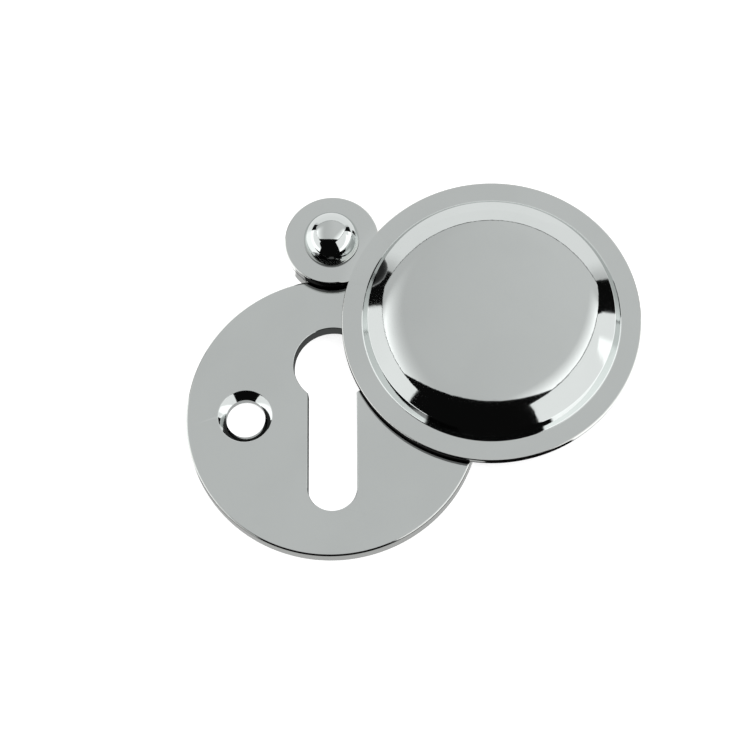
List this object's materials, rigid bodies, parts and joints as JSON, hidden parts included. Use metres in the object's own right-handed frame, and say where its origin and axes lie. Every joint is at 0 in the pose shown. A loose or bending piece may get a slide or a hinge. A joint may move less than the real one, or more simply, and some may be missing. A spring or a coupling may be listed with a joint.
{
  "type": "keyhole escutcheon",
  "caption": "Round keyhole plate with countersunk screw holes and a domed cover that swings aside on a ball-headed rivet.",
  "frame": {"origin": "centre of the plate's disc in its back face", "axes": "+Z out of the front face, +Y from the keyhole towards the rivet, +X to the right seen from the front"},
  "size_m": [0.0487, 0.0416, 0.0068],
  "materials": {
    "plate_chrome": "polished",
    "cover_chrome": "polished",
    "rivet_chrome": "polished",
    "washer_steel": "satin"
  },
  "bodies": {
    "plate": {"back_plate": "plate_chrome", "pivot_rivet": "rivet_chrome", "spacer_washer": "washer_steel"},
    "cover": {"swing_cover": "cover_chrome"}
  },
  "joints": [
    {"name": "cover_swing", "type": "hinge", "parent": "plate", "child": "cover", "pos_m": [0, 0.0195, 0.00215], "axis": [0, 0, 1], "continuous": true}
  ]
}
